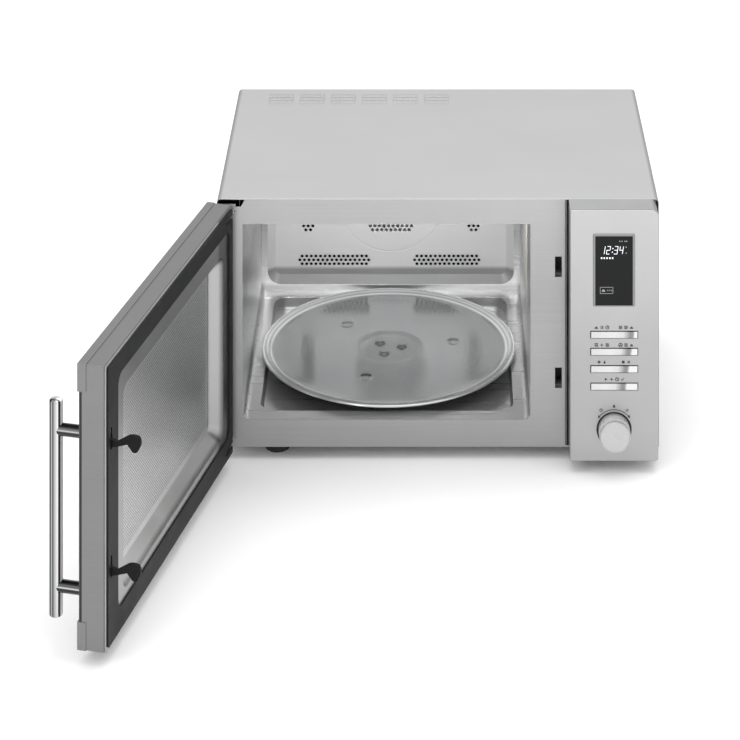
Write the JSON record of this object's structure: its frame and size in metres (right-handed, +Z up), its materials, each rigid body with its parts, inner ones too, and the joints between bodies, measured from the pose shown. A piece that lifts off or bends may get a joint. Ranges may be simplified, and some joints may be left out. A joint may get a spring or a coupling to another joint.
{
  "type": "microwave oven",
  "caption": "Countertop combination microwave oven with a side-hung door, a glass turntable on a roller ring, a grill, a convection fan and a control panel.",
  "frame": {"origin": "on the worktop, midway across the cabinet, in the plane of the cabinet's front frame", "axes": "+X to the right across the front, +Y to the rear, +Z up; stored with the door open"},
  "size_m": [0.6611, 0.8296, 0.3081],
  "materials": {
    "cover_steel": "satin brushed, lightly lacquered",
    "frame_steel": "horizontal brushed grain",
    "zinc_sheet": "zinc-plated sheet",
    "foot_rubber": "matt",
    "screw_steel": "zinc-plated",
    "black_plastic": "moulded, fine grain",
    "white_plastic": "moulded",
    "liner_steel": "bright rolled, polished",
    "back_steel": "satin, pressed",
    "mica": "mica sheet",
    "magnetron_metal": "pressed",
    "core_iron": "varnished laminations",
    "winding_copper": "varnished wire",
    "can_aluminium": "drawn can",
    "fan_plastic": "glass-filled moulding",
    "motor_metal": "plated laminations",
    "fan_metal": "pressed sheet",
    "heater_sheath": "oxidised sheath",
    "lamp_body": "moulded",
    "plate_glass": "frosted pressed glass",
    "ring_plastic": "moulded",
    "hinge_steel": "zinc-plated",
    "door_steel": "brushed",
    "pan_enamel": "enamelled, satin",
    "screen_film": "clear film",
    "door_glass": "tinted",
    "choke_plastic": "glossy moulding",
    "spring_steel": "drawn wire",
    "handle_steel": "polished",
    "fascia_steel": "horizontal brushed grain",
    "housing_plastic": "metallic lacquer",
    "bezel_chrome": "bright",
    "display_glass": "smoked window",
    "key_chrome": "satin bright",
    "knob_metal": "satin, bright rim",
    "board_green": "solder mask"
  },
  "bodies": {
    "cabinet": {"outer_cover": "cover_steel", "base_plate": "zinc_sheet", "feet": "foot_rubber", "rear_panel": "zinc_sheet", "rear_fan_cover": "zinc_sheet", "case_screws": "screw_steel", "cord_gland": "black_plastic", "front_frame": "frame_steel", "cavity_liner": "liner_steel", "cavity_back_panel": "back_steel", "waveguide_cover": "mica", "waveguide": "zinc_sheet", "magnetron": "magnetron_metal", "transformer_core": "core_iron", "transformer_windings": "winding_copper", "capacitor": "can_aluminium", "cooling_fan_shroud": "fan_plastic", "cooling_fan_motor": "motor_metal", "convection_chamber": "zinc_sheet", "convection_heater": "heater_sheath", "convection_motor": "motor_metal", "grill_heater": "heater_sheath", "cavity_lamp": "lamp_body", "turntable_motor": "motor_metal", "interlock_bracket": "black_plastic", "door_switches": "black_plastic", "hinge_brackets": "hinge_steel", "hinge_pins": "hinge_steel", "panel_fascia": "fascia_steel", "panel_housing": "housing_plastic", "display_bezel": "bezel_chrome", "display_window": "display_glass", "control_board": "board_green", "key_carrier": "black_plastic", "encoder": "black_plastic"},
    "door": {"door_frame": "door_steel", "door_glass": "door_glass", "door_trims": "door_steel", "door_inner_pan": "pan_enamel", "window_film": "screen_film", "choke_cover": "choke_plastic", "latch_spring": "spring_steel", "handle_bar": "handle_steel", "handle_posts": "handle_steel", "handle_screws": "screw_steel", "hinge_bushes": "white_plastic"},
    "latch": {"latch_key": "black_plastic"},
    "turntable": {"glass_turntable": "plate_glass", "turntable_coupler": "white_plastic"},
    "roller_ring": {"roller_ring": "ring_plastic"},
    "roller_wheel_1": {"roller_wheel_1": "ring_plastic"},
    "roller_wheel_2": {"roller_wheel_2": "ring_plastic"},
    "roller_wheel_3": {"roller_wheel_3": "ring_plastic"},
    "knob": {"knob": "knob_metal"},
    "upper_key": {"upper_key": "key_chrome"},
    "middle_key": {"middle_key": "key_chrome"},
    "lower_key": {"lower_key": "key_chrome"},
    "start_key": {"start_key": "key_chrome"},
    "cooling_fan": {"cooling_fan_blade": "fan_plastic"},
    "convection_fan": {"convection_fan": "fan_metal"}
  },
  "joints": [
    {"name": "door_hinge", "type": "hinge", "parent": "cabinet", "child": "door", "pos_m": [-0.2555, -0.0165, 0.16], "axis": [0, 0, -1], "range_deg": [-103.75, 6]},
    {"name": "latch_slide", "type": "slide", "parent": "door", "child": "latch", "axis": [0, 0, 1], "range_m": [0, 0.0035], "stiffness_N_per_m": 300, "springref_m": -0.005, "deforming": ["latch_spring"]},
    {"name": "turntable_spin", "type": "hinge", "parent": "cabinet", "child": "turntable", "pos_m": [-0.06035, 0.172, 0.05], "axis": [0, 0, 1], "continuous": true},
    {"name": "roller_ring_spin", "type": "hinge", "parent": "cabinet", "child": "roller_ring", "pos_m": [-0.06035, 0.172, 0.0415], "axis": [0, 0, 1], "continuous": true},
    {"name": "roller_wheel_1_spin", "type": "hinge", "parent": "roller_ring", "child": "roller_wheel_1", "pos_m": [-0.06035, 0.281, 0.0415], "axis": [0, 1, 0], "continuous": true},
    {"name": "roller_wheel_2_spin", "type": "hinge", "parent": "roller_ring", "child": "roller_wheel_2", "pos_m": [-0.15475, 0.1175, 0.0415], "axis": [-0.866, -0.5, 0], "continuous": true},
    {"name": "roller_wheel_3_spin", "type": "hinge", "parent": "roller_ring", "child": "roller_wheel_3", "pos_m": [0.03405, 0.1175, 0.0415], "axis": [0.866, -0.5, 0], "continuous": true},
    {"name": "knob_spin", "type": "hinge", "parent": "cabinet", "child": "knob", "pos_m": [0.2049, -0.033, 0.0519], "axis": [0, -1, 0], "continuous": true},
    {"name": "upper_key_rock", "type": "hinge", "parent": "cabinet", "child": "upper_key", "pos_m": [0.20515, -0.0264, 0.1621], "axis": [0, 0, 1], "range_deg": [-2.5, 2.5], "stiffness_Nm_per_rad": 0.9},
    {"name": "middle_key_rock", "type": "hinge", "parent": "cabinet", "child": "middle_key", "pos_m": [0.20515, -0.0264, 0.1423], "axis": [0, 0, 1], "range_deg": [-2.5, 2.5], "stiffness_Nm_per_rad": 0.9},
    {"name": "lower_key_rock", "type": "hinge", "parent": "cabinet", "child": "lower_key", "pos_m": [0.20515, -0.0264, 0.1221], "axis": [0, 0, 1], "range_deg": [-2.5, 2.5], "stiffness_Nm_per_rad": 0.9},
    {"name": "start_key_press", "type": "slide", "parent": "cabinet", "child": "start_key", "axis": [0, 1, 0], "range_m": [0, 0.001], "stiffness_N_per_m": 1500, "springref_m": -0.0005},
    {"name": "cooling_fan_spin", "type": "hinge", "parent": "cabinet", "child": "cooling_fan", "pos_m": [0.205, 0.334, 0.2], "axis": [0, 1, 0], "continuous": true},
    {"name": "convection_fan_spin", "type": "hinge", "parent": "cabinet", "child": "convection_fan", "pos_m": [-0.06035, 0.366, 0.163], "axis": [0, 1, 0], "continuous": true}
  ],
  "couplings": [
    {"joint": "roller_ring_spin", "follows": "turntable_spin", "ratio": 0.5},
    {"joint": "roller_wheel_1_spin", "follows": "turntable_spin", "ratio": -8.7903},
    {"joint": "roller_wheel_2_spin", "follows": "turntable_spin", "ratio": -8.7903},
    {"joint": "roller_wheel_3_spin", "follows": "turntable_spin", "ratio": -8.7903}
  ]
}
